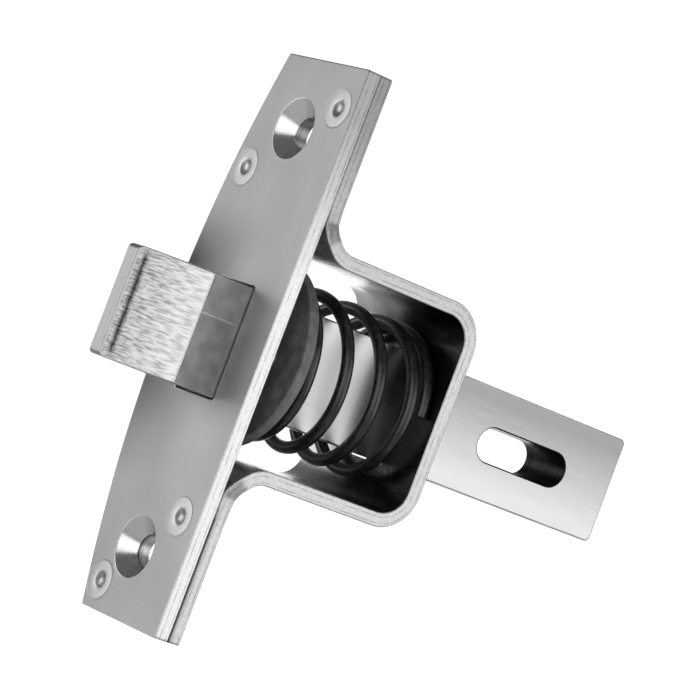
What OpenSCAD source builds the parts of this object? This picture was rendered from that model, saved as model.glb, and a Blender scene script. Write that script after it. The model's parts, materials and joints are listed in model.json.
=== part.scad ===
// Spring-loaded slam latch bolt in a riveted hat bracket.
// Axes: +X is the way the bolt head comes out, +Y is the bevel side, +Z runs up the faceplate.
// Origin: centre of the screw pattern, on the bolt axis, at the front of the faceplate.

/* [Faceplate] */
// Length of the faceplate along Z
plate_len = 120; // [112:1:130]
// Thickness of the faceplate
plate_t = 3.2; // [3:0.1:4]
// Distance from the bolt axis to the straight edge
straight_edge = 18; // [17:0.5:20]
// Distance from the bolt axis to the bowed edge at its ends
bow_end = 11; // [10.5:0.5:14]
// Distance from the bolt axis to the bowed edge at its middle
bow_mid = 19.5; // [18.5:0.5:21]

/* [Screw holes] */
// Distance between the two screw holes
screw_spacing = 90; // [86:1:94]
// Diameter of each through hole
screw_hole_d = 6.6; // [5.5:0.1:7]
// Diameter of the countersink at the front face
countersink_d = 13; // [11:0.5:13]

/* [Spring housing] */
// Width of the bent strip
strip_w = 39.6; // [36:0.2:40]
// Thickness of the bent strip
strip_t = 3; // [2.5:0.1:3]
// Distance from the front of the faceplate to the back of the housing
housing_depth = 48; // [46:0.5:54]
// Clear height inside the housing
housing_h = 42.8; // [42:0.2:44]
// Inside radius of the two back corners
back_bend_r = 6; // [4:0.5:7]
// Radius on the outside of the two flange bends
flange_bend_r = 5; // [4:0.5:6]

/* [Latch bolt] */
// Height of the bolt along Z
bolt_h = 23.5; // [22:0.5:24]
// Thickness of the bolt along Y
bolt_t = 14; // [12:0.5:14]
// How far the head stands out of the faceplate
head_out = 22.4; // [20:0.2:24]
// Distance from the faceplate to where the bevel starts
bevel_start = 9.7; // [8:0.1:11]
// Thickness left at the blunt tip of the head
tip_t = 3.9; // [3:0.1:5]
// Distance from the front of the faceplate to the end of the tail
tail_end = 105.4; // [102:0.2:112]
// Length of the slot in the tail
slot_len = 25; // [20:0.5:26]
// Width of the slot in the tail
slot_w = 7.5; // [6:0.1:8]
// Solid length left between the slot and the end of the tail
slot_margin = 13.2; // [10:0.2:15]
// Gap around the bolt where it passes through the plate and the housing
bolt_gap = 0.35; // [0.3:0.05:0.5]

/* [Thrust washer and pin] */
// Diameter of the thrust washer
washer_d = 40; // [36:0.5:40]
// Thickness of the thrust washer
washer_t = 2.5; // [2:0.5:3]
// Diameter of the retaining pin
pin_d = 5; // [4:0.5:5]
// Length of the retaining pin
pin_len = 24; // [22:0.5:26]

/* [Spring] */
// Outside diameter of the coil spring
spring_od = 34.4; // [34:0.1:35]
// Diameter of the spring wire
wire_d = 2.7; // [2.5:0.1:2.8]
// Number of free turns, between the closed turns at each end
free_turns = 3; // [2.5:0.5:3.5]

/* [Rivets] */
// Diameter of the rivet shanks
rivet_d = 5; // [4:0.5:5]
// Diameter of each flush head, in the plate's front face and in the flange's back face
rivet_head_d = 8.6; // [7.5:0.1:8.8]
// Diameter of the dimple in each front head
rivet_dimple_d = 3.6; // [3:0.1:4]

/* [Hidden] */

// Y and Z of the four rivets, one on each side of both screw holes
RIVETS = [
    [12.2, 51],
    [-11.8, 35],
    [11, -36],
    [-7.8, -54]
];

// Facets round a full circle
ROUND = 96;
// Smallest overlap between shapes that join
EPS = 0.01;
// How far a cutting shape runs past the surface that it cuts
CUT = 1;

half_len = plate_len / 2;
bow_rise = bow_mid - bow_end;
bow_r = (half_len * half_len + bow_rise * bow_rise) / (2 * bow_rise);
flange_back = plate_t + strip_t;
half_h = housing_h / 2;
half_strip = strip_w / 2;
outer_bend_r = back_bend_r + strip_t;
inner_flange_r = flange_bend_r + strip_t;
flange_bend_x = flange_back + flange_bend_r;
flange_bend_z = half_h + inner_flange_r;
back_corner_x = housing_depth - outer_bend_r;
back_corner_z = half_h - back_bend_r;

screw_hole_r = screw_hole_d / 2;
countersink_r = countersink_d / 2;
countersink_depth = min(countersink_r - screw_hole_r, plate_t);

rivet_head_r = rivet_head_d / 2;
rivet_r = rivet_d / 2;
rivet_head_depth = rivet_head_r - rivet_r;

half_bolt_t = bolt_t / 2;
pass_w = bolt_t + 2 * bolt_gap;
pass_h = bolt_h + 2 * bolt_gap;
pin_x = plate_t + pin_d / 2;
washer_x = plate_t + pin_d;
slot_back = tail_end - slot_margin;
slot_front = slot_back - slot_len;

spring_front = washer_x + washer_t;
spring_back = housing_depth - strip_t;
coil_r = (spring_od - wire_d) / 2;
wire_r = wire_d / 2;
front_closed_turns = 0.5;
back_closed_turns = 1;
closed_pitch = wire_d * 1.25;
front_closed_len = front_closed_turns * closed_pitch;
back_closed_len = back_closed_turns * closed_pitch;
spring_turns = front_closed_turns + free_turns + back_closed_turns;
wire_run = spring_back - spring_front - wire_d;
free_pitch = (wire_run - front_closed_len - back_closed_len) / free_turns;

// Distance from the bolt axis to the bowed edge, at height z
function bow_at(z) = bow_mid - bow_r + sqrt(bow_r * bow_r - z * z);

// Wire centre along X, counted back from the washer, after t turns
function wire_x(t) =
    t < front_closed_turns ? t * closed_pitch
    : t > spring_turns - back_closed_turns
        ? wire_run - (spring_turns - t) * closed_pitch
    : front_closed_len + (t - front_closed_turns) * free_pitch;

// Plan of the faceplate: straight on +Y, bowed on -Y
module plate_plan(x_front, x_back) {
    translate([-x_back, 0, 0])
    intersection() {
        translate([0, -bow_mid, -half_len])
            cube([x_back - x_front, bow_mid + straight_edge, plate_len]);
        translate([0, bow_r - bow_mid, 0])
            rotate([0, 90, 0])
            cylinder(h = x_back - x_front, r = bow_r, $fn = ROUND);
    }
}

// Block centred on the bolt axis, from x_front back to x_back
module axis_block(x_front, x_back, width, height) {
    translate([-x_back, -width / 2, -height / 2])
        cube([x_back - x_front, width, height]);
}

// Cylinder along X, from x_front back to x_back
module axis_cylinder(x_front, x_back, r) {
    translate([-x_back, 0, 0])
        rotate([0, 90, 0])
        cylinder(h = x_back - x_front, r = r, $fn = ROUND);
}

module screw_holes(x_back) {
    for (side = [-1, 1])
        translate([0, 0, side * screw_spacing / 2])
        axis_cylinder(-CUT, x_back, screw_hole_r);
}

module rivet_holes(x_back) {
    for (place = RIVETS)
        translate([0, place[0], place[1]])
        axis_cylinder(-CUT, x_back, rivet_r);
}

// Cone that narrows from r_front at the front face to r_back at the given depth
module front_cone(r_front, r_back, depth) {
    translate([-depth, 0, 0])
        rotate([0, 90, 0])
        cylinder(h = depth, r1 = r_back, r2 = r_front, $fn = ROUND);
}

// Rivet head at the back of the flange
module rear_head() {
    translate([-flange_back, 0, 0])
        rotate([0, 90, 0])
        cylinder(h = rivet_head_depth, r1 = rivet_head_r, r2 = rivet_r, $fn = ROUND);
}

module face_plate() {
    color("silver")
    difference() {
        plate_plan(0, plate_t);
        axis_block(-CUT, plate_t + CUT, pass_w, pass_h);
        screw_holes(plate_t + CUT);
        rivet_holes(plate_t + CUT);
        for (side = [-1, 1])
            translate([0, 0, side * screw_spacing / 2])
            front_cone(countersink_r, screw_hole_r, countersink_depth);
        for (place = RIVETS)
            translate([0, place[0], place[1]])
            front_cone(rivet_head_r, rivet_r, rivet_head_depth);
    }
}

// Quarter of a bend along Y, centred at x, z, swept from start degrees
module strip_bend(x, z, r_in, r_out, start) {
    translate([-x, half_strip + CUT, z])
        rotate([90, 0, 0])
        rotate([0, 0, start])
        rotate_extrude(angle = 90, $fn = ROUND)
        translate([r_in, 0])
        square([r_out - r_in, strip_w + 2 * CUT]);
}

module strip_run(x_front, x_back, z_low, z_high) {
    translate([-x_back, -half_strip - CUT, z_low])
        cube([x_back - x_front, strip_w + 2 * CUT, z_high - z_low]);
}

module half_strip_profile() {
    strip_run(plate_t, flange_back, flange_bend_z, half_len + CUT);
    strip_bend(flange_bend_x, flange_bend_z, flange_bend_r, inner_flange_r, -90);
    strip_run(flange_bend_x, back_corner_x, half_h, half_h + strip_t);
    strip_bend(back_corner_x, back_corner_z, back_bend_r, outer_bend_r, 90);
    strip_run(spring_back, housing_depth, -EPS, back_corner_z);
}

// Outline of the strip seen along X: full width at the housing, trimmed to the plate at the flanges
module strip_plan() {
    full_z = half_h + strip_t;
    trim_z = flange_bend_z + CUT;
    plate_plan(plate_t - CUT, housing_depth + CUT);
    translate([-housing_depth - CUT, 0, 0])
        rotate([90, 0, 90])
        linear_extrude(housing_depth)
        polygon([
            [half_strip, -full_z],
            [half_strip, full_z],
            [straight_edge, trim_z],
            [-bow_at(trim_z), trim_z],
            [-half_strip, full_z],
            [-half_strip, -full_z],
            [-bow_at(trim_z), -trim_z],
            [straight_edge, -trim_z]
        ]);
}

module spring_housing() {
    color("gainsboro")
    difference() {
        intersection() {
            union() {
                half_strip_profile();
                mirror([0, 0, 1])
                    half_strip_profile();
            }
            strip_plan();
        }
        axis_block(spring_back - CUT, housing_depth + CUT, pass_w, pass_h);
        screw_holes(flange_back + CUT);
        rivet_holes(flange_back + CUT);
        for (place = RIVETS)
            translate([0, place[0], place[1]])
            rear_head();
    }
}

// Side outline of the bolt in X and Z, with small rounds at its four corners
module bolt_outline() {
    corner_r = 1.2;
    length = head_out + tail_end;
    translate([-tail_end, 0, 0])
        rotate([90, 0, 0])
        linear_extrude(bolt_t + 2 * CUT, center = true) {
            translate([corner_r, -bolt_h / 2])
                square([length - 2 * corner_r, bolt_h]);
            translate([0, -bolt_h / 2 + corner_r])
                square([length, bolt_h - 2 * corner_r]);
            for (x = [corner_r, length - corner_r])
                for (z = [-1, 1])
                    translate([x, z * (bolt_h / 2 - corner_r)])
                    circle(r = corner_r, $fn = ROUND);
        }
}

// Round hole along Y through the bolt
module cross_hole(x, r) {
    translate([-x, 0, 0])
        rotate([90, 0, 0])
        cylinder(h = bolt_t + 2 * CUT, r = r, center = true, $fn = ROUND);
}

module latch_bolt() {
    color("silver")
    difference() {
        intersection() {
            translate([0, 0, -bolt_h / 2])
                linear_extrude(bolt_h)
                polygon([
                    [-tail_end, -half_bolt_t],
                    [head_out, -half_bolt_t],
                    [head_out, tip_t - half_bolt_t],
                    [bevel_start, half_bolt_t],
                    [-tail_end, half_bolt_t]
                ]);
            bolt_outline();
        }
        cross_hole(slot_front + slot_w / 2, slot_w / 2);
        cross_hole(slot_back - slot_w / 2, slot_w / 2);
        axis_block(slot_front + slot_w / 2, slot_back - slot_w / 2, bolt_t + 2 * CUT, slot_w);
        cross_hole(pin_x, pin_d / 2);
    }
}

module thrust_washer() {
    hole_gap = 0.3;
    color("dimgray")
    difference() {
        axis_cylinder(washer_x, washer_x + washer_t, washer_d / 2);
        axis_block(washer_x - CUT, washer_x + washer_t + CUT, bolt_t + hole_gap, bolt_h + hole_gap);
    }
}

// Slotted spring pin across the bolt, just behind the faceplate
module retaining_pin() {
    wall = pin_d * 0.2;
    slit_w = 0.8;
    color("darkgray")
    translate([-pin_x, 0, 0])
    rotate([90, 0, 0])
    difference() {
        cylinder(h = pin_len, r = pin_d / 2, center = true, $fn = ROUND);
        cylinder(h = pin_len + CUT, r = pin_d / 2 - wall, center = true, $fn = ROUND);
        translate([-slit_w / 2, 0, -pin_len])
            cube([slit_w, pin_d, 2 * pin_len]);
    }
}

// Round wire coiled about X, drawn as one closed tube
module coil_spring() {
    steps = 28;
    sides = 10;
    rings = round(spring_turns * steps);
    points = [
        for (i = [0 : rings])
            let (
                turn = i * spring_turns / rings,
                around = 360 * turn,
                x = -spring_front - wire_r - wire_x(turn)
            )
            for (j = [0 : sides - 1])
                let (
                    tilt = 360 * j / sides,
                    r = coil_r + wire_r * cos(tilt)
                )
                [x + wire_r * sin(tilt), -r * cos(around), r * sin(around)]
    ];
    skin = [
        for (i = [0 : rings - 1])
            for (j = [0 : sides - 1])
                let (
                    a = i * sides + j,
                    b = i * sides + (j + 1) % sides
                )
                [a, b, b + sides, a + sides]
    ];
    first_cap = [for (j = [0 : sides - 1]) sides - 1 - j];
    last_cap = [for (j = [0 : sides - 1]) rings * sides + j];
    color("black")
        polyhedron(points, concat(skin, [first_cap, last_cap]), 4);
}

// Rivet through the plate and the flange, flush at both ends and dimpled in front
module rivet(place) {
    dimple_depth = 1;
    color("gray")
    translate([0, place[0], place[1]])
    difference() {
        union() {
            front_cone(rivet_head_r, rivet_r, rivet_head_depth);
            axis_cylinder(0, flange_back, rivet_r);
            rear_head();
        }
        translate([EPS, 0, 0])
            front_cone(rivet_dimple_d / 2, rivet_dimple_d / 4, dimple_depth);
    }
}

face_plate();
spring_housing();
latch_bolt();
thrust_washer();
retaining_pin();
coil_spring();
rivet(RIVETS[0]);  // rivet_upper_straight_side
rivet(RIVETS[1]);  // rivet_upper_bowed_side
rivet(RIVETS[2]);  // rivet_lower_straight_side
rivet(RIVETS[3]);  // rivet_lower_bowed_side
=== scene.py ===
import json
import math

import bmesh
import bpy
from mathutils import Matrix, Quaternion, Vector
from mathutils.geometry import delaunay_2d_cdt


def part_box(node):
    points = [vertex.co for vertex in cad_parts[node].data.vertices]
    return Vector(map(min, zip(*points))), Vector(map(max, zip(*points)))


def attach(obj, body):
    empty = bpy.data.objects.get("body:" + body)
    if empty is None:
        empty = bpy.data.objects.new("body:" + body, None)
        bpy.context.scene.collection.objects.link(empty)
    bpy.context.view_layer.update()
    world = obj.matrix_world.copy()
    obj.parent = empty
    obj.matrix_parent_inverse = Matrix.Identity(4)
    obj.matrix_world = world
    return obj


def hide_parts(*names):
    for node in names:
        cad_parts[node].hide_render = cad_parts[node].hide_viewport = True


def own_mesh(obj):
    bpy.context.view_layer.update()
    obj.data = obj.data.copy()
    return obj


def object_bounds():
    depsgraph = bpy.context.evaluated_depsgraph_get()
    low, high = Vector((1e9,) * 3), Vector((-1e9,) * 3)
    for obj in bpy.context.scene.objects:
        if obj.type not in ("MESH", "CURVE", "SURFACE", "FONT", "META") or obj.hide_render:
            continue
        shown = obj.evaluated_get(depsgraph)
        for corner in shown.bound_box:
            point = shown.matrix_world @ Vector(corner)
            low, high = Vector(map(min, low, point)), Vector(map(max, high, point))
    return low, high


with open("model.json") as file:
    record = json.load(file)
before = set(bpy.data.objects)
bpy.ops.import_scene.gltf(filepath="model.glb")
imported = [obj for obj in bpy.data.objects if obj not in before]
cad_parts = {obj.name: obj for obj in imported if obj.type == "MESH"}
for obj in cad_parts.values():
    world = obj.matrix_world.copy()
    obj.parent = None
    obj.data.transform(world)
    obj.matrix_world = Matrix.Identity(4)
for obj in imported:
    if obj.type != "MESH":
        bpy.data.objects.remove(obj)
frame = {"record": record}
cad_low, cad_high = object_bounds()

MM = 0.001

# ---------------------------------------------------------------- sizes

mounts = {m["name"]: m for m in frame["record"]["mounts"]}
plate_low, plate_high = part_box("face_plate")
housing_low, housing_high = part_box("spring_housing")
bolt_low, bolt_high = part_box("latch_bolt")
washer_low, washer_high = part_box("thrust_washer")
pin_low, pin_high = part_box("retaining_pin")
spring_low, spring_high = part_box("coil_spring")

PLATE_T = plate_high.x - plate_low.x
STRIP_T = 3 * MM
STRAIGHT_EDGE = plate_high.y
BOW_MID = -plate_low.y
BOW_END = 11 * MM
HALF_LEN = plate_high.z
BOW_RISE = BOW_MID - BOW_END
BOW_RADIUS = (HALF_LEN ** 2 + BOW_RISE ** 2) / (2 * BOW_RISE)

SCREW_Z = mounts["faceplate_screws"]["dims"]["spacing_y_mm"] * MM / 2
SCREW_R = mounts["faceplate_screws"]["dims"]["hole_r_mm"] * MM
COUNTERSINK_R = 6.5 * MM

HALF_STRIP = housing_high.y
HALF_CLEAR = 21.4 * MM
FLANGE_BEND_R = 8 * MM
BACK_BEND_R = 6 * MM

BOLT_TOP = bolt_high.y
BOLT_BOTTOM = bolt_low.y
HALF_BOLT_H = bolt_high.z
BOLT_GAP = 0.35 * MM
BEVEL_START = 9.7 * MM
TIP_T = 3.9 * MM
SLOT_X = mounts["tail_slot"]["pos_m"][0]
SLOT_LEN = mounts["tail_slot"]["dims"]["slot_length_mm"] * MM
SLOT_R = 3.75 * MM

WIRE_R = 1.35 * MM
COIL_R = spring_high.y - WIRE_R
FREE_TURNS = 3
FRONT_CLOSED_TURNS = 0.5
BACK_CLOSED_TURNS = 1
CLOSED_PITCH = 2.5 * WIRE_R
TURNS = FRONT_CLOSED_TURNS + FREE_TURNS + BACK_CLOSED_TURNS

RIVETS = [
    "rivet_upper_straight_side",
    "rivet_upper_bowed_side",
    "rivet_lower_straight_side",
    "rivet_lower_bowed_side",
]
RIVET_R = 4.0 * MM
RIVET_NECK = 1.7 * MM
STAKE_R = 4.32 * MM
STAKE_DEPTH = 0.05 * MM
DIMPLE_R = 1.7 * MM

# ---------------------------------------------------------------- camera, lights and stage

CAMERA_TARGET = Vector((-0.0217, 0.0151, 0.0072))
CAMERA_AZIMUTH = math.radians(144.13)
CAMERA_ELEVATION = math.radians(-1.9)
CAMERA_ROLL = math.radians(20.7)
CAMERA_DISTANCE = 0.715
CAMERA_LENS = 182.5
ROOM_LIGHT = 0.12
TABLE_LIGHT = 0.45
TABLE_GLOW = 0.95
ROOM_ENDS = -0.2
TABLE_STARTS = -0.6
BACKDROP_WHITE = 1.05
TABLE_HALF = 6.0

# name, direction from the object, distance, size, radiance
SOFTBOXES = [
    ("front", (0.8, -0.6, 0.02), 0.8, 0.55, 1.65),
    ("camera_side", (0.7, 0.7, 0.05), 1.0, 0.9, 1.25),
    ("side_fill", (0.13, 0.99, 0.1), 1.1, 0.4, 1.0),
    ("tail_side", (-0.52, 0.85, 0.05), 1.0, 0.9, 1.5),
    ("backdrop", (-0.62, -0.78, 0.0), 1.0, 0.9, 1.5),
    ("countersinks", (0.81, 0.58, 0.0), 1.3, 0.3, 1.0),
    ("overhead", (-0.3, 0.05, 1.0), 1.0, 0.8, 1.1),
]


def add_camera():
    data = bpy.data.cameras.new("camera")
    data.lens = CAMERA_LENS
    data.clip_start = 0.01
    camera = bpy.data.objects.new("camera", data)
    bpy.context.scene.collection.objects.link(camera)
    flat = math.cos(CAMERA_ELEVATION)
    back = Vector((
        math.sin(CAMERA_AZIMUTH) * flat,
        -math.cos(CAMERA_AZIMUTH) * flat,
        math.sin(CAMERA_ELEVATION),
    ))
    camera.location = CAMERA_TARGET + back * CAMERA_DISTANCE
    camera.rotation_mode = "QUATERNION"
    level = (-back).to_track_quat("-Z", "Y")
    camera.rotation_quaternion = level @ Quaternion((0, 0, 1), CAMERA_ROLL)
    bpy.context.scene.camera = camera


def add_softbox(name, direction, distance, size, radiance):
    """Square area light that faces the middle of the object."""
    data = bpy.data.lights.new(name, "AREA")
    data.size = size
    data.energy = radiance * math.pi * size ** 2
    light = bpy.data.objects.new(name, data)
    light.visible_camera = False
    bpy.context.scene.collection.objects.link(light)
    towards = Vector(direction).normalized()
    middle = (cad_low + cad_high) / 2
    light.location = middle + towards * distance
    light.rotation_mode = "QUATERNION"
    light.rotation_quaternion = (-towards).to_track_quat("-Z", "Y")


def add_world():
    """Dim grey room over a lighter table, and plain white where it is seen directly."""
    world = bpy.data.worlds.new("room")
    world.use_nodes = True
    bpy.context.scene.world = world
    nodes, links = world.node_tree.nodes, world.node_tree.links
    nodes.clear()
    out = nodes.new("ShaderNodeOutputWorld")
    room = nodes.new("ShaderNodeBackground")
    room.inputs["Color"].default_value = (1, 1, 1, 1)
    direction = nodes.new("ShaderNodeTexCoord").outputs["Generated"]
    height = nodes.new("ShaderNodeSeparateXYZ")
    links.new(direction, height.inputs[0])
    fade = nodes.new("ShaderNodeMapRange")
    fade.inputs["From Min"].default_value = ROOM_ENDS
    fade.inputs["From Max"].default_value = TABLE_STARTS
    fade.inputs["To Min"].default_value = ROOM_LIGHT
    fade.inputs["To Max"].default_value = TABLE_LIGHT
    links.new(height.outputs["Z"], fade.inputs["Value"])
    links.new(fade.outputs["Result"], room.inputs["Strength"])
    white = nodes.new("ShaderNodeBackground")
    white.inputs["Color"].default_value = (1, 1, 1, 1)
    white.inputs["Strength"].default_value = BACKDROP_WHITE
    light_path = nodes.new("ShaderNodeLightPath")
    choose = nodes.new("ShaderNodeMixShader")
    links.new(light_path.outputs["Is Camera Ray"], choose.inputs["Fac"])
    links.new(room.outputs[0], choose.inputs[1])
    links.new(white.outputs[0], choose.inputs[2])
    links.new(choose.outputs[0], out.inputs["Surface"])


def add_floor():
    """Plain pale light table under the lowest point of the object."""
    mesh = bpy.data.meshes.new("floor")
    sides = ((-1, -1), (1, -1), (1, 1), (-1, 1))
    corners = [(x * TABLE_HALF, y * TABLE_HALF, cad_low.z) for x, y in sides]
    mesh.from_pydata(corners, [], [(0, 1, 2, 3)])
    floor = bpy.data.objects.new("floor", mesh)
    bpy.context.scene.collection.objects.link(floor)
    material = bpy.data.materials.new("pale_table")
    material.use_nodes = True
    surface = material.node_tree.nodes["Principled BSDF"]
    surface.inputs["Base Color"].default_value = (0.9, 0.9, 0.9, 1)
    surface.inputs["Roughness"].default_value = 0.9
    surface.inputs["Specular IOR Level"].default_value = 0.0
    surface.inputs["Emission Color"].default_value = (1, 1, 1, 1)
    surface.inputs["Emission Strength"].default_value = TABLE_GLOW
    mesh.materials.append(material)
    floor.visible_glossy = False
    floor.visible_diffuse = False


# ---------------------------------------------------------------- mesh helpers

def arc(centre, radius, start, stop, count):
    """Points from start to stop degrees, both ends included."""
    angles = [math.radians(start + (stop - start) * i / count) for i in range(count + 1)]
    return [Vector((centre[0] + radius * math.cos(a), centre[1] + radius * math.sin(a))) for a in angles]


def hole_circle(radius, centre=(0, 0), count=64):
    """Clockwise, so that the material lies to the left of the loop."""
    return arc(centre, radius, 360, 0, count)[:-1]


def hole_block(half_u, half_v, corner, centre=(0, 0)):
    """Clockwise rectangle with round corners."""
    u, v = half_u - corner, half_v - corner
    loop = []
    for side_u, side_v, start in ((1, 1, 90), (1, -1, 0), (-1, -1, -90), (-1, 1, -180)):
        middle = (centre[0] + side_u * u, centre[1] + side_v * v)
        loop += arc(middle, corner, start, start - 90, 6)
    return loop


def shifted(loop, distance):
    """The loop moved to its left, with mitred corners."""
    moved = []
    for i, point in enumerate(loop):
        before = (point - loop[i - 1]).normalized()
        after = (loop[(i + 1) % len(loop)] - point).normalized()
        left = Vector((-before.y - after.y, before.x + after.x)).normalized()
        moved.append(point + left * distance / max(left.dot(Vector((-before.y, before.x))), 0.4))
    return moved


def rounded_rim(thickness, radius, steps=4):
    """Rim profile as (inset, depth) pairs: round front edge, straight wall, round back edge."""
    turn = [math.pi / 2 * i / steps for i in range(steps + 1)]
    front = [(radius - radius * math.sin(a), radius - radius * math.cos(a)) for a in turn]
    back = [(inset, thickness - depth) for inset, depth in reversed(front)]
    return front + back


def inside(point, loops):
    """Even-odd test against all loops together."""
    odd = False
    for loop in loops:
        for i, a in enumerate(loop):
            b = loop[i - 1]
            if (a.y > point.y) != (b.y > point.y):
                if point.x < (b.x - a.x) * (point.y - a.y) / (b.y - a.y) + a.x:
                    odd = not odd
    return odd


def fill_face(bm, rings, ties, material):
    """Closes a flat face between rings of vertices.
    ties are pairs of vertices joined by a straight edge."""
    own = [v for ring in rings for v in ring]
    place = {v: i for i, v in enumerate(own)}
    edges = [(place[ring[i - 1]], place[v]) for ring in rings for i, v in enumerate(ring)]
    edges += [(place[a], place[b]) for a, b in ties]
    flat = [v.co.xy for v in own]
    depth = own[0].co.z
    found = delaunay_2d_cdt([p * 1000 for p in flat], edges, [], 0, 1e-6)
    points, faces, sources = found[0], found[2], found[3]
    verts = []
    for point, source in zip(points, sources):
        verts.append(own[source[0]] if source else bm.verts.new((point.x / 1000, point.y / 1000, depth)))
    loops = [[v.co.xy for v in ring] for ring in rings]
    for corners in faces:
        middle = sum((points[i] for i in corners), Vector((0, 0))) / len(corners) / 1000
        if inside(middle, loops):
            face = bm.faces.new([verts[i] for i in corners])
            face.material_index = material


def sheet_piece(name, rims, place, ties=(), front_material=0):
    """Flat sheet with holes, bent or placed by place(u, v, depth).
    rims are (loop, profile, material index), the outline first; ties are pairs of outline indices."""
    bm = bmesh.new()
    stacks = []
    for loop, profile, material in rims:
        stack = []
        for inset, depth in profile:
            stack.append([bm.verts.new((p.x, p.y, depth)) for p in shifted(loop, inset)])
        for upper, lower in zip(stack, stack[1:]):
            for i in range(len(loop)):
                face = bm.faces.new((upper[i - 1], upper[i], lower[i], lower[i - 1]))
                face.material_index = material
        stacks.append(stack)
    for end, material in ((0, front_material), (-1, 0)):
        tied = [(stacks[0][end][a], stacks[0][end][b]) for a, b in ties]
        fill_face(bm, [stack[end] for stack in stacks], tied, material)
    depth = bm.verts.layers.float.new("depth")
    for v in bm.verts:
        v[depth] = v.co.z / MM
        v.co = place(v.co.x, v.co.y, v.co.z)
    return finished(name, bm)


def finished(name, bm):
    bmesh.ops.recalc_face_normals(bm, faces=bm.faces)
    mesh = bpy.data.meshes.new(name)
    bm.to_mesh(mesh)
    bm.free()
    mesh.shade_smooth()
    piece = bpy.data.objects.new(name, mesh)
    bpy.context.scene.collection.objects.link(piece)
    normals = piece.modifiers.new("flat faces stay flat", "WEIGHTED_NORMAL")
    normals.weight = 100
    normals.keep_sharp = True
    return piece


def turned_piece(name, profile, centre, count=64):
    """Solid turned about an axis along X, from (x, radius) pairs; both ends close on the axis."""
    bm = bmesh.new()
    rings = []
    for x, radius in profile:
        ring = []
        for i in range(count):
            angle = math.tau * i / count
            y = centre[0] + radius * math.cos(angle)
            z = centre[1] + radius * math.sin(angle)
            ring.append(bm.verts.new((x, y, z)))
        rings.append(ring)
    for one, two in zip(rings, rings[1:]):
        for i in range(count):
            bm.faces.new((one[i - 1], one[i], two[i], two[i - 1]))
    bm.faces.new(rings[0])
    bm.faces.new(rings[-1])
    return finished(name, bm)


# ---------------------------------------------------------------- materials

# Positions in the materials are millimetres in the frame, set where the photo's tones change.
DARK_LINE_X = 21.1
SCRATCH_Z = 3.5


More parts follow.
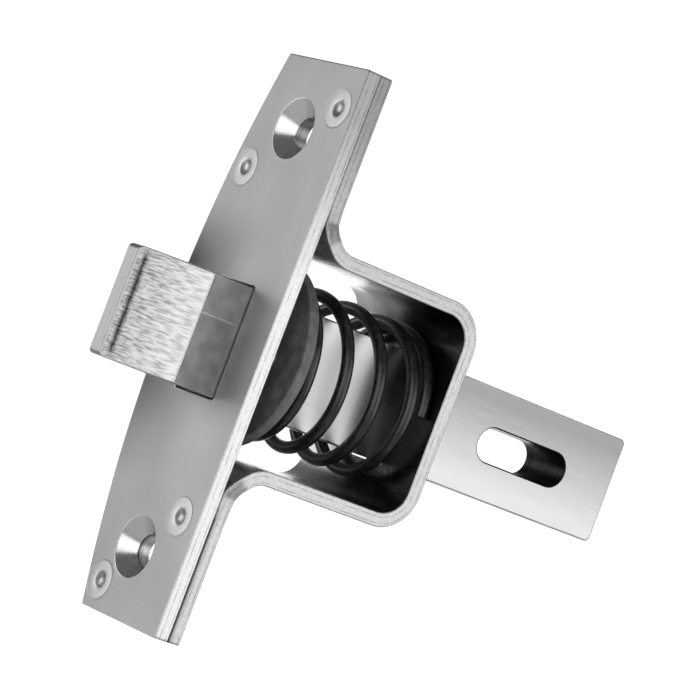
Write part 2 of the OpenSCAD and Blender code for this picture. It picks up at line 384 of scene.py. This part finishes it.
class Surface:
    """A surface whose colour, roughness and bump come from nodes. Its lengths are millimetres."""

    def __init__(self, name):
        self.material = bpy.data.materials.new(name)
        self.material.use_nodes = True
        self.nodes = self.material.node_tree.nodes
        self.links = self.material.node_tree.links
        self.shader = self.nodes["Principled BSDF"]
        self.coordinates = self.nodes.new("ShaderNodeTexCoord").outputs["Object"]

    def noise(self, cycles, detail=3.0, shift=0.0):
        """Noise from about 0 to 1. cycles per millimetre are one number, or one each for X, Y and Z."""
        if isinstance(cycles, (int, float)):
            cycles = (cycles,) * 3
        mapping = self.nodes.new("ShaderNodeMapping")
        mapping.inputs["Scale"].default_value = [c / MM for c in cycles]
        mapping.inputs["Location"].default_value = (shift, shift * 0.7, shift * 1.3)
        self.links.new(self.coordinates, mapping.inputs["Vector"])
        noise = self.nodes.new("ShaderNodeTexNoise")
        noise.inputs["Scale"].default_value = 1.0
        noise.inputs["Detail"].default_value = detail
        self.links.new(mapping.outputs["Vector"], noise.inputs["Vector"])
        return noise.outputs["Fac"]

    def ramp(self, value, low, high, out_low=0.0, out_high=1.0):
        """Goes evenly from out_low to out_high as value goes from low to high, and no further."""
        node = self.nodes.new("ShaderNodeMapRange")
        node.inputs["From Min"].default_value = low
        node.inputs["From Max"].default_value = high
        node.inputs["To Min"].default_value = out_low
        node.inputs["To Max"].default_value = out_high
        self.links.new(value, node.inputs["Value"])
        return node.outputs["Result"]

    def position(self, axis):
        """Object coordinate in millimetres."""
        node = self.nodes.new("ShaderNodeSeparateXYZ")
        self.links.new(self.coordinates, node.inputs[0])
        return self.math("MULTIPLY", node.outputs[axis], 1 / MM)

    def depth(self):
        """Depth from the front of the sheet in millimetres, which sheet_piece stores on the mesh."""
        node = self.nodes.new("ShaderNodeAttribute")
        node.attribute_name = "depth"
        return node.outputs["Fac"]

    def blend(self, first, second, share):
        """Mix of two values, with so large a share of the first."""
        return self.math("ADD", self.times(first, share), self.times(second, 1 - share))

    def times(self, *values):
        """Product of the values."""
        product = values[0]
        for value in values[1:]:
            product = self.math("MULTIPLY", product, value)
        return product

    def without(self, value):
        """One minus the value."""
        return self.math("SUBTRACT", 1.0, value)

    def line(self, value, middle, half_width):
        """1 on the line where value is middle, falling to 0 at half_width."""
        distance = self.math("ABSOLUTE", self.math("SUBTRACT", value, middle))
        return self.ramp(distance, half_width, 0.0)

    def math(self, operation, *values):
        """Value of a math node. Each input is a number or another node's output."""
        node = self.nodes.new("ShaderNodeMath")
        node.operation = operation
        for socket, value in zip(node.inputs, values):
            if isinstance(value, (int, float)):
                socket.default_value = value
            else:
                self.links.new(value, socket)
        return node.outputs[0]

    def grey(self, value, dark, light):
        """Colour between two greys."""
        node = self.nodes.new("ShaderNodeMix")
        node.data_type = "RGBA"
        node.inputs[6].default_value = (dark, dark, dark, 1)
        node.inputs[7].default_value = (light, light, light, 1)
        self.links.new(value, node.inputs[0])
        return node.outputs[2]

    def bump(self, height, distance, strength, under=None):
        """Normal bent by a height, on top of another bump where under is given."""
        node = self.nodes.new("ShaderNodeBump")
        node.inputs["Distance"].default_value = distance
        node.inputs["Strength"].default_value = strength
        self.links.new(height, node.inputs["Height"])
        if under is not None:
            self.links.new(under, node.inputs["Normal"])
        return node.outputs["Normal"]

    def finish(self, colour, roughness, normal, metallic=1.0):
        """Joins the parts to the shader and returns the material."""
        self.links.new(colour, self.shader.inputs["Base Color"])
        self.links.new(roughness, self.shader.inputs["Roughness"])
        self.links.new(normal, self.shader.inputs["Normal"])
        self.shader.inputs["Metallic"].default_value = metallic
        return self.material


def satin_tone(s, shift):
    """Soft mottling, fine grain and a few faint rubs, from 0 to about 1, and the fine grain alone."""
    mottle = s.noise(0.07, detail=2.0, shift=shift)
    fine = s.noise(2.0, detail=4.0, shift=shift + 3)
    rubs = s.ramp(s.noise((0.25, 1.6, 0.12), detail=2.0, shift=shift + 9), 0.62, 0.72)
    tone = s.ramp(s.blend(mottle, fine, 0.6), 0.32, 0.68)
    return s.math("ADD", tone, s.times(rubs, 0.25)), fine


def satin_steel(name, dark, light, rough, shift=0.0, grain_depth=0.02 * MM):
    """Tumbled sheet steel."""
    s = Surface(name)
    tone, fine = satin_tone(s, shift)
    colour = s.grey(tone, dark, light)
    roughness = s.ramp(fine, 0.25, 0.75, rough - 0.05, rough + 0.07)
    normal = s.bump(s.noise(3.0, shift=shift + 5), grain_depth, 0.5)
    return s.finish(colour, roughness, normal)


def plate_steel():
    """Satin faceplate, with painted shadow beside the head on its bowed side."""
    s = Surface("faceplate_satin")
    tone, fine = satin_tone(s, 0)
    bowed = s.ramp(s.position("Y"), 3.0, -17.0)
    height = s.position("Z")
    # painted shadow of the head, above and below it on the plate's bowed side
    shadow_above = s.times(bowed, s.ramp(height, 27.0, 14.0), s.ramp(height, 0.0, 4.0, 0.0, 0.8))
    shadow_below = s.times(bowed, s.ramp(height, -34.0, -13.0), s.ramp(height, 0.0, -4.0, 0.0, 0.62))
    outside_painted_shade = s.times(s.without(shadow_above), s.without(shadow_below))
    colour = s.grey(s.times(s.ramp(tone, 0.0, 1.0, 0.82, 1.0), outside_painted_shade), 0.0, 0.54)
    roughness = s.ramp(fine, 0.25, 0.75, 0.4, 0.5)
    return s.finish(colour, roughness, s.bump(s.noise(3.0, shift=5), 0.015 * MM, 0.4))


def inside_steel():
    """Inner face of the housing, with painted shade: bright near the plate and on the bowed side, black
    further back.
    """
    s = Surface("housing_inside")
    # painted shade: bright near the plate and on the bowed side, black further back and towards +Y
    place = s.math("ADD", s.position("X"), s.times(s.noise(0.09), 8.0))
    place = s.math("SUBTRACT", place, s.times(s.position("Y"), 0.35))
    outside_painted_shade = s.math("MAXIMUM", s.ramp(place, -41.0, -29.0), s.ramp(s.position("Y"), -5.0, -15.0))
    fine = s.noise(1.5)
    colour = s.grey(outside_painted_shade, 0.1, 0.8)
    roughness = s.ramp(fine, 0.3, 0.7, 0.26, 0.36)
    return s.finish(colour, roughness, s.bump(fine, 0.01 * MM, 0.4))


def cut_edge(name, dark, light, rough, thickness, seam=0.0, shift=0.0):
    """Sheared edge, mottled, with two fine dark lines along it, and painted shade that darkens it towards
    the top.
    seam is the width of the dark line where the lower flange meets the faceplate."""
    s = Surface(name)
    tear = s.noise(0.9, detail=4.0, shift=shift)
    speck = s.noise(2.2, shift=shift + 6)
    tone = s.ramp(s.blend(tear, speck, 0.6), 0.34, 0.62, dark / light, 1.0)
    wavy = s.math("ADD", s.depth(), s.times(s.noise(0.12, shift=shift + 2), 0.5))
    broken = s.ramp(s.noise(0.35, shift=shift + 4), 0.4, 0.6, 0.1, 0.5)
    for share in (0.42, 0.86):
        tone = s.times(tone, s.without(s.times(broken, s.line(wavy, share * thickness, 0.2))))
    height = s.position("Z")
    if seam:
        lower_flange = s.ramp(height, -30.0, -34.0)
        tone = s.times(tone, s.without(s.times(s.line(s.depth(), 0.0, seam), lower_flange)))
    # painted shade: the edge darkens towards the top
    tone = s.times(tone, s.ramp(height, 15.0, 50.0, 1.0, 0.5))
    colour = s.grey(tone, 0.0, light)
    roughness = s.ramp(tear, 0.3, 0.7, rough - 0.05, rough + 0.08)
    return s.finish(colour, roughness, s.bump(speck, 0.02 * MM, 0.4))


def ground_steel(name, dark, light, rough, lay, depth, shift=0.0):
    """Sawn or ground bar: striations, short dark scratches and pits. lay is cycles per millimetre."""
    s = Surface(name)
    lines = s.noise(lay, detail=4.0, shift=shift)
    hair = s.noise([3 * cycles for cycles in lay], shift=shift + 4)
    pits = s.ramp(s.noise((0.9, 1.1, 1.1), shift=shift + 7), 0.63, 0.7)
    tone = s.ramp(s.blend(lines, hair, 0.6), 0.36, 0.64)
    tone = s.math("MAXIMUM", s.math("SUBTRACT", tone, s.times(pits, 0.5)), 0.0)
    colour = s.grey(tone, dark, light)
    roughness = s.ramp(hair, 0.3, 0.7, rough - 0.06, rough + 0.08)
    normal = s.bump(lines, depth, 0.5, under=s.bump(hair, depth * 0.3, 0.5))
    return s.finish(colour, roughness, normal)


def bar_steel():
    """Flats of the bolt: satin, darker and blotched on the head, with painted shade at the back of the
    spring and painted shade darkening the tail towards the top, and one light scratch on the head."""
    s = Surface("bolt_ground")
    lines = s.noise((0.1, 0.0, 2.2), detail=4.0)
    place, height = s.position("X"), s.position("Z")
    head = s.times(s.ramp(place, -1.0, 0.5, 1.0, 0.56), s.ramp(place, 1.0, 9.0, 1.0, 0.7))
    # painted shade on the flats inside the back of the spring
    painted_spring_shade = s.without(s.times(s.ramp(place, -33.0, -37.0), s.ramp(place, -49.0, -46.0), 0.75))
    # painted shade: the tail darkens towards the top
    upper_tail = s.times(s.ramp(place, -44.0, -48.0), s.ramp(height, -9.0, 9.0))
    blotch = s.times(s.ramp(s.noise(0.25, shift=6), 0.35, 0.65), s.ramp(place, -1.0, 1.0), 0.3)
    tone = s.times(s.ramp(lines, 0.35, 0.65, 0.93, 1.0), head, painted_spring_shade)
    tone = s.times(tone, s.without(s.times(upper_tail, 0.5)), s.without(blotch))
    scratch = s.times(s.line(height, SCRATCH_Z, 0.25), s.ramp(place, 0.5, 2.0), 0.3)
    colour = s.grey(s.math("ADD", tone, scratch), 0.0, 0.82)
    roughness = s.ramp(lines, 0.3, 0.7, 0.42, 0.5)
    return s.finish(colour, roughness, s.bump(lines, 0.008 * MM, 0.4))


def bevel_steel():
    """Sawn bevel: short dark marks that fade towards the crease, and a ragged dark line behind the tip."""
    s = Surface("bolt_bevel")
    place, height = s.position("X"), s.position("Z")
    far = s.ramp(place, 10.0, 22.0)
    marks = s.noise((0.5, 0.0, 2.4), detail=4.0, shift=3)
    pits = s.noise(0.8, detail=4.0, shift=8)
    dark = s.times(s.ramp(marks, 0.44, 0.64), s.ramp(far, 0.0, 1.0, 0.22, 0.6))
    dark = s.math("MAXIMUM", dark, s.times(s.ramp(pits, 0.54, 0.66), s.ramp(far, 0.3, 1.0, 0.0, 0.5)))
    ragged = s.math("ADD", place, s.times(s.noise((0.0, 0.8, 0.8), shift=9), 0.5))
    short_of_corners = s.times(s.ramp(height, -11.8, -9.5), s.ramp(height, 11.8, 9.5))
    dark_line = s.times(s.line(ragged, DARK_LINE_X, 0.75), short_of_corners)
    tone = s.times(s.without(dark), s.without(s.times(dark_line, 0.95)), s.ramp(far, 0.0, 1.0, 0.92, 0.62))
    colour = s.grey(tone, 0.0, 0.86)
    roughness = s.ramp(marks, 0.3, 0.7, 0.36, 0.5)
    return s.finish(colour, roughness, s.bump(marks, 0.03 * MM, 0.4))


def dark_washer_steel():
    """Heat-blackened steel, mottled charcoal."""
    s = Surface("washer_black_oxide")
    blotch = s.noise(0.35, detail=5.0, shift=2)
    fine = s.noise(3.0, shift=6)
    colour = s.grey(s.ramp(s.blend(blotch, fine, 0.7), 0.35, 0.65), 0.1, 0.22)
    roughness = s.ramp(blotch, 0.3, 0.7, 0.38, 0.58)
    return s.finish(colour, roughness, s.bump(fine, 0.03 * MM, 0.4), metallic=0.0)


def black_spring_wire():
    """Black coating on drawn wire, with a soft gloss."""
    s = Surface("spring_gloss_black")
    film = s.noise(0.8, shift=1)
    specks = s.noise(5.0, detail=2.0, shift=8)
    colour = s.grey(s.ramp(film, 0.35, 0.7), 0.006, 0.025)
    roughness = s.ramp(film, 0.3, 0.7, 0.3, 0.42)
    s.shader.inputs["Coat Weight"].default_value = 0.5
    s.shader.inputs["Coat Roughness"].default_value = 0.25
    return s.finish(colour, roughness, s.bump(specks, 0.01 * MM, 0.35), metallic=0.0)


# ---------------------------------------------------------------- pieces

def bow_at(z):
    return BOW_MID - BOW_RADIUS + math.sqrt(BOW_RADIUS ** 2 - z * z)


def corner_between(before, corner, after, radius, count=5):
    """Round corner of a loop, as points on an arc."""
    corner, back, on = Vector(corner), Vector(before), Vector(after)
    first, second = (back - corner).normalized(), (on - corner).normalized()
    half = first.angle(second) / 2
    reach = radius / math.tan(half)
    centre = corner + (first + second).normalized() * radius / math.sin(half)
    start, stop = corner + first * reach - centre, corner + second * reach - centre
    turn = start.angle_signed(stop)
    points = []
    for i in range(count + 1):
        angle = -turn * i / count
        points.append(centre + Vector((
            start.x * math.cos(angle) - start.y * math.sin(angle),
            start.x * math.sin(angle) + start.y * math.cos(angle),
        )))
    return points


def rivet_places():
    places = []
    for node in RIVETS:
        low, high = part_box(node)
        places.append(((low.y + high.y) / 2, (low.z + high.z) / 2))
    return places


def plate_outline():
    """Counter-clockwise in Y and Z: straight edge on +Y, arc on -Y."""
    steps = 48
    bow = []
    for i in range(1, steps):
        z = HALF_LEN - 2 * HALF_LEN * i / steps
        bow.append(Vector((-bow_at(z), z)))
    round_r = 0.5 * MM
    low_right, high_right = (STRAIGHT_EDGE, -HALF_LEN), (STRAIGHT_EDGE, HALF_LEN)
    high_left, low_left = (-BOW_END, HALF_LEN), (-BOW_END, -HALF_LEN)
    straight = [Vector((STRAIGHT_EDGE, -HALF_LEN + 2 * HALF_LEN * i / 24)) for i in range(1, 24)]
    return (
        corner_between(low_left, low_right, high_right, round_r)
        + straight
        + corner_between(low_right, high_right, high_left, round_r)
        + corner_between(high_right, high_left, bow[0], round_r)
        + bow
        + corner_between(bow[-1], low_left, low_right, round_r)
    )


def make_face_plate():
    edge = 0.28 * MM
    hole_rim = rounded_rim(PLATE_T, edge)
    cone = [(0.12 * MM, 0), (0.03 * MM, 0.03 * MM), (-0.08 * MM, 0.12 * MM)]
    cone += [(-depth, depth) for depth in (1.0 * MM, 2.0 * MM, PLATE_T - 0.1 * MM, PLATE_T)]
    stake_w = STAKE_R - RIVET_R
    stake = [
        (stake_w, 0),
        (stake_w - 0.1 * MM, STAKE_DEPTH * 0.2),
        (stake_w - 0.2 * MM, STAKE_DEPTH),
        (0, STAKE_DEPTH),
        (-0.03 * MM, STAKE_DEPTH),
        (-0.05 * MM, STAKE_DEPTH + 0.1 * MM),
        (-RIVET_NECK, PLATE_T - 0.6 * MM),
        (-RIVET_NECK, PLATE_T),
    ]
    rims = [(plate_outline(), rounded_rim(PLATE_T, edge), 1)]
    opening = hole_block(BOLT_TOP + BOLT_GAP, HALF_BOLT_H + BOLT_GAP, 0.7 * MM)
    rims.append((opening, hole_rim, 1))
    for side in (-1, 1):
        rims.append((hole_circle(COUNTERSINK_R, (0, side * SCREW_Z)), cone, 2))
    for y, z in rivet_places():
        rims.append((hole_circle(RIVET_R, (y, z)), stake, 0))
    piece = sheet_piece("faceplate", rims, lambda u, v, depth: Vector((-depth, u, v)))
    piece.data.materials.append(plate_steel())
    piece.data.materials.append(cut_edge("faceplate_cut_edge", 0.66, 0.9, 0.42, PLATE_T / MM))
    piece.data.materials.append(satin_steel("faceplate_machined", 0.7, 0.85, 0.22, grain_depth=0.004 * MM))
    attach(piece, "case")
    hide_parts("face_plate")


def strip_course():
    """Stretches of the strip's inner face, from the top flange's end to the bottom one's.
    Each is (length, curvature), positive where the strip bends towards its outer face."""
    flange = HALF_LEN - HALF_CLEAR - FLANGE_BEND_R
    flange_x = PLATE_T + FLANGE_BEND_R
    wall = -housing_low.x - STRIP_T - BACK_BEND_R - flange_x
    quarter = math.pi / 2
    half = [
        (flange, 0),
        (quarter * FLANGE_BEND_R, 1 / FLANGE_BEND_R),
        (wall, 0),
        (quarter * BACK_BEND_R, -1 / BACK_BEND_R),
    ]
    back = 2 * (HALF_CLEAR - BACK_BEND_R)
    return half + [(back, 0)] + half[::-1]


COURSE = strip_course()
COURSE_LENGTH = sum(length for length, _ in COURSE)


def strip_frame(s):
    """Point on the inner face at length s, and the direction towards the outer face, in X and Z."""
    x, z, heading = -PLATE_T, HALF_LEN, -math.pi / 2
    for length, curvature in COURSE:
        step = min(s, length)
        if curvature:
            radius = 1 / curvature
            side = Vector((math.sin(heading), -math.cos(heading)))
            centre = Vector((x, z)) + side * radius
            heading -= step * curvature
            side = Vector((math.sin(heading), -math.cos(heading)))
            x, z = centre - side * radius
        else:
            x += math.cos(heading) * step
            z += math.sin(heading) * step
        s -= step
        if s <= 0:
            break
    return Vector((x, z)), Vector((math.sin(heading), -math.cos(heading)))


def strip_place(u, v, depth):
    point, outwards = strip_frame(min(max(v, 0), COURSE_LENGTH))
    x, z = point + outwards * depth
    if v < 0:
        z -= v
    return Vector((x, u, z))


def strip_half_width(z, side):
    """Half width of the strip at height z: full at the housing, trimmed to the plate at the flanges."""
    full_z = HALF_CLEAR + STRIP_T
    trim_z = HALF_CLEAR + FLANGE_BEND_R + 1 * MM
    height = abs(z)
    trimmed = STRAIGHT_EDGE if side > 0 else bow_at(max(height, trim_z))
    share = min(max((trim_z - height) / (trim_z - full_z), 0), 1)
    return trimmed + (HALF_STRIP - trimmed) * share


def strip_stations():
    """Lengths along the strip where its outline has points, closer in the bends."""
    stations, start = [], 0
    for length, curvature in COURSE:
        count = 16 if curvature else max(2, round(length / (3 * MM)))
        stations += [start + length * i / count for i in range(count)]
        start += length
    return stations[1:]


def make_housing():
    stations = strip_stations()
    heights = [strip_frame(s)[0].y for s in stations]
    plus = [Vector((strip_half_width(z, 1), s)) for s, z in zip(stations, heights)]
    minus = [Vector((-strip_half_width(z, -1), s)) for s, z in zip(stations, heights)]
    first = [(-BOW_END, 0), (STRAIGHT_EDGE, 0)]
    last = [(STRAIGHT_EDGE, COURSE_LENGTH), (-BOW_END, COURSE_LENGTH)]
    round_r = 0.5 * MM
    outline = corner_between(first[0], first[1], plus[0], round_r)
    plus_start = len(outline)
    outline += plus
    outline += corner_between(plus[-1], last[0], last[1], round_r)
    outline += corner_between(last[0], last[1], minus[-1], round_r)
    minus_end = len(outline) + len(minus) - 1
    outline += minus[::-1]
    outline += corner_between(minus[0], first[0], first[1], round_r)
    ties = [(plus_start + i, minus_end - i) for i in range(len(stations))]
    middle = COURSE_LENGTH / 2
    flange = HALF_LEN - HALF_CLEAR - FLANGE_BEND_R
    past_opening = HALF_BOLT_H + 1.2 * MM
    ties = [
        tie for s, tie in zip(stations, ties)
        if abs(s - middle) > past_opening and flange < s < COURSE_LENGTH - flange
    ]
    rims = [(outline, rounded_rim(STRIP_T, 0.3 * MM), 1)]
    opening = hole_block(BOLT_TOP + BOLT_GAP, HALF_BOLT_H + BOLT_GAP, 0.7 * MM, (0, middle))
    rims.append((opening, rounded_rim(STRIP_T, 0.3 * MM), 1))
    for z in (SCREW_Z, -SCREW_Z):
        s = HALF_LEN - z if z > 0 else COURSE_LENGTH - HALF_LEN - z
        rims.append((hole_circle(SCREW_R, (0, s)), rounded_rim(STRIP_T, 0.15 * MM), 1))
    for y, z in rivet_places():
        s = HALF_LEN - z if z > 0 else COURSE_LENGTH - HALF_LEN - z
        cone = [
            (-RIVET_NECK, 0),
            (-RIVET_NECK, STRIP_T - 1.8 * MM),
            (0, STRIP_T - 0.1 * MM),
            (0.08 * MM, STRIP_T),
        ]
        rims.append((hole_circle(RIVET_R, (y, s)), cone, 1))
    piece = sheet_piece("housing", rims, strip_place, ties, front_material=2)
    piece.data.materials.append(satin_steel("housing_satin", 0.5, 0.66, 0.28, shift=20))
    edge = cut_edge("housing_cut_edge", 0.5, 0.76, 0.44, STRIP_T / MM, seam=0.9, shift=12)
    piece.data.materials.append(edge)
    piece.data.materials.append(inside_steel())
    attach(piece, "case")
    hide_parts("spring_housing")


def bolt_top_at(x):
    """Height of the bolt's bevelled side at x, with a small round where the bevel starts."""
    blend = 0.5 * MM
    slope = (BOLT_TOP - BOLT_BOTTOM - TIP_T) / (bolt_high.x - BEVEL_START)
    past = x - BEVEL_START
    if past <= -blend:
        return BOLT_TOP
    if past >= blend:
        return BOLT_TOP - slope * past
    return BOLT_TOP - slope * (past + blend) ** 2 / (4 * blend)


def bolt_place(u, v, depth):
    thickness = BOLT_TOP - BOLT_BOTTOM
    top = bolt_top_at(u)
    return Vector((u, top - (top - BOLT_BOTTOM) * depth / thickness, v))


def make_bolt():
    thickness = BOLT_TOP - BOLT_BOTTOM
    low_x, high_x = bolt_low.x, bolt_high.x
    crease = [BEVEL_START + offset * MM for offset in (-0.5, -0.25, 0, 0.25, 0.5)]
    runs = [low_x + 4 * MM + 4 * MM * i for i in range(27)] + crease + [bolt_high.x - 4 * MM]
    runs = sorted(x for x in runs if low_x + 3 * MM < x < high_x - 1.6 * MM)
    low_left, low_right = (low_x, -HALF_BOLT_H), (high_x, -HALF_BOLT_H)
    high_left, high_right = (low_x, HALF_BOLT_H), (high_x, HALF_BOLT_H)
    outline = corner_between(high_left, low_left, low_right, 1.2 * MM)
    lower_start = len(outline)
    outline += [Vector((x, -HALF_BOLT_H)) for x in runs]
    outline += corner_between(low_left, low_right, high_right, 1.0 * MM)
    outline += corner_between(low_right, high_right, high_left, 1.2 * MM)
    upper_end = len(outline) + len(runs) - 1
    outline += [Vector((x, HALF_BOLT_H)) for x in reversed(runs)]
    outline += corner_between(high_right, high_left, low_left, 1.2 * MM)
    ties = [(lower_start + i, upper_end - i) for i, x in enumerate(runs) if x >= crease[0] - 1e-9]
    slot = arc((SLOT_X + SLOT_LEN / 2 - SLOT_R, 0), SLOT_R, 90, -90, 24)
    slot += arc((SLOT_X - SLOT_LEN / 2 + SLOT_R, 0), SLOT_R, -90, -270, 24)
    pin_r = (pin_high.z - pin_low.z) / 2
    pin_x = (pin_high.x + pin_low.x) / 2
    rims = [
        (outline, rounded_rim(thickness, 0.35 * MM), 2),
        (slot, rounded_rim(thickness, 0.3 * MM), 1),
        (hole_circle(pin_r, (pin_x, 0)), rounded_rim(thickness, 0.15 * MM), 1),
    ]
    piece = sheet_piece("bolt", rims, bolt_place, ties)
    across = (0.1, 3.0, 0.0)
    piece.data.materials.append(bar_steel())
    slot_wall = ground_steel("bolt_slot_wall", 0.01, 0.05, 0.35, across, 0.05 * MM, shift=11)
    bolt_edge = ground_steel("bolt_edge", 0.45, 0.68, 0.42, across, 0.02 * MM, shift=5)
    piece.data.materials.append(slot_wall)
    piece.data.materials.append(bolt_edge)
    piece.data.materials.append(bevel_steel())
    for face in piece.data.polygons:
        if face.material_index == 0 and face.center.x > BEVEL_START and face.normal.x > 0.3:
            face.material_index = 3
    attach(piece, "bolt")
    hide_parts("latch_bolt")


def make_washer():
    radius = washer_high.z
    thickness = washer_high.x - washer_low.x
    outline = arc((0, 0), radius, 0, 360, 128)[:-1]
    gap = 0.15 * MM
    opening = hole_block(BOLT_TOP + gap, HALF_BOLT_H + gap, 0.4 * MM)
    rims = [
        (outline, rounded_rim(thickness, 0.35 * MM), 1),
        (opening, rounded_rim(thickness, 0.2 * MM), 1),
    ]
    piece = sheet_piece("washer", rims, lambda u, v, depth: Vector((washer_high.x - depth, u, v)))
    piece.data.materials.append(dark_washer_steel())
    piece.data.materials.append(dark_washer_steel())
    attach(piece, "bolt")
    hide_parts("thrust_washer")


def make_pin():
    """Rolled spring pin with a slit."""
    radius = (pin_high.z - pin_low.z) / 2
    length = pin_high.y - pin_low.y
    centre = ((pin_high.x + pin_low.x) / 2, 0)
    wall = 1.0 * MM
    slit = 9
    outline = arc(centre, radius, 90 + slit, 450 - slit, 48)
    outline += arc(centre, radius - wall, 450 - slit * 1.6, 90 + slit * 1.6, 36)
    rims = [(outline, rounded_rim(length, 0.2 * MM), 0)]
    piece = sheet_piece("cross_pin", rims, lambda u, v, depth: Vector((u, pin_high.y - depth, v)))
    steel = ground_steel("pin_steel", 0.35, 0.6, 0.3, (2.2, 0.12, 2.2), 0.05 * MM, shift=31)
    piece.data.materials.append(steel)
    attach(piece, "bolt")
    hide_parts("retaining_pin")


def wire_x(turn):
    """Wire centre along X after so many turns, counted back from the washer."""
    run = spring_high.x - spring_low.x - 2 * WIRE_R
    front = FRONT_CLOSED_TURNS * CLOSED_PITCH
    back = BACK_CLOSED_TURNS * CLOSED_PITCH
    pitch = (run - front - back) / FREE_TURNS
    if turn < FRONT_CLOSED_TURNS:
        return turn * CLOSED_PITCH
    if turn > TURNS - BACK_CLOSED_TURNS:
        return run - (TURNS - turn) * CLOSED_PITCH
    return front + (turn - FRONT_CLOSED_TURNS) * pitch


def make_spring():
    rings, sides = round(TURNS * 96), 24
    bm = bmesh.new()
    tube = []
    for i in range(-2, rings + 3):
        turn = min(max(i, 0), rings) / rings * TURNS
        angle = math.tau * turn
        over = 0.1 * MM * max(-i, i - rings, 0)
        wire = math.sqrt(max(WIRE_R ** 2 - (3 * over) ** 2, (0.6 * WIRE_R) ** 2))
        out = Vector((0, -math.cos(angle), math.sin(angle)))
        tangent = Vector((0, math.sin(angle), math.cos(angle)))
        x = spring_high.x - WIRE_R - wire_x(turn)
        end = over if i > rings else -over
        centre = Vector((x, 0, 0)) + out * COIL_R + tangent * end
        ring = []
        for j in range(sides):
            tilt = math.tau * j / sides
            around = out * math.cos(tilt) + Vector((math.sin(tilt), 0, 0))
            ring.append(bm.verts.new(centre + around * wire))
        tube.append(ring)
    for one, two in zip(tube, tube[1:]):
        for j in range(sides):
            bm.faces.new((one[j - 1], one[j], two[j], two[j - 1]))
    bm.faces.new(tube[0])
    bm.faces.new(tube[-1])
    piece = finished("spring", bm)
    piece.data.materials.append(black_spring_wire())
    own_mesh(piece)
    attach(piece, "case")
    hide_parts("coil_spring")


def make_rivets():
    head = satin_steel("rivet_satin", 0.5, 0.66, 0.36, shift=41)
    for node, place in zip(RIVETS, rivet_places()):
        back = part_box(node)[0].x
        sunk = -STAKE_DEPTH
        profile = [
            (sunk - 0.6 * MM, 0.3 * MM),
            (sunk - 0.52 * MM, 0.8 * MM),
            (sunk - 0.18 * MM, DIMPLE_R - 0.35 * MM),
            (sunk + 0.01 * MM, DIMPLE_R),
            (sunk + 0.04 * MM, DIMPLE_R + 0.5 * MM),
            (sunk + 0.045 * MM, RIVET_R - 1.2 * MM),
            (sunk + 0.02 * MM, RIVET_R - 0.4 * MM),
            (sunk, RIVET_R - 0.06 * MM),
            (sunk, RIVET_R - 0.02 * MM),
            (sunk - 1.8 * MM, RIVET_R - 1.75 * MM),
            (back + 1.85 * MM, RIVET_R - 1.75 * MM),
            (back + 0.12 * MM, RIVET_R - 0.06 * MM),
            (back + 0.02 * MM, RIVET_R - 0.25 * MM),
            (back, RIVET_R - 0.5 * MM),
            (back, 0.4 * MM),
        ]
        piece = turned_piece(node.replace("rivet", "flush_rivet"), profile, place)
        piece.data.materials.append(head)
        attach(piece, "case")
        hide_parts(node)


add_camera()
add_world()
add_floor()
for softbox in SOFTBOXES:
    add_softbox(*softbox)
bpy.context.scene.view_settings.view_transform = "Standard"

make_face_plate()
make_housing()
make_bolt()
make_washer()
make_pin()
make_spring()
make_rivets()
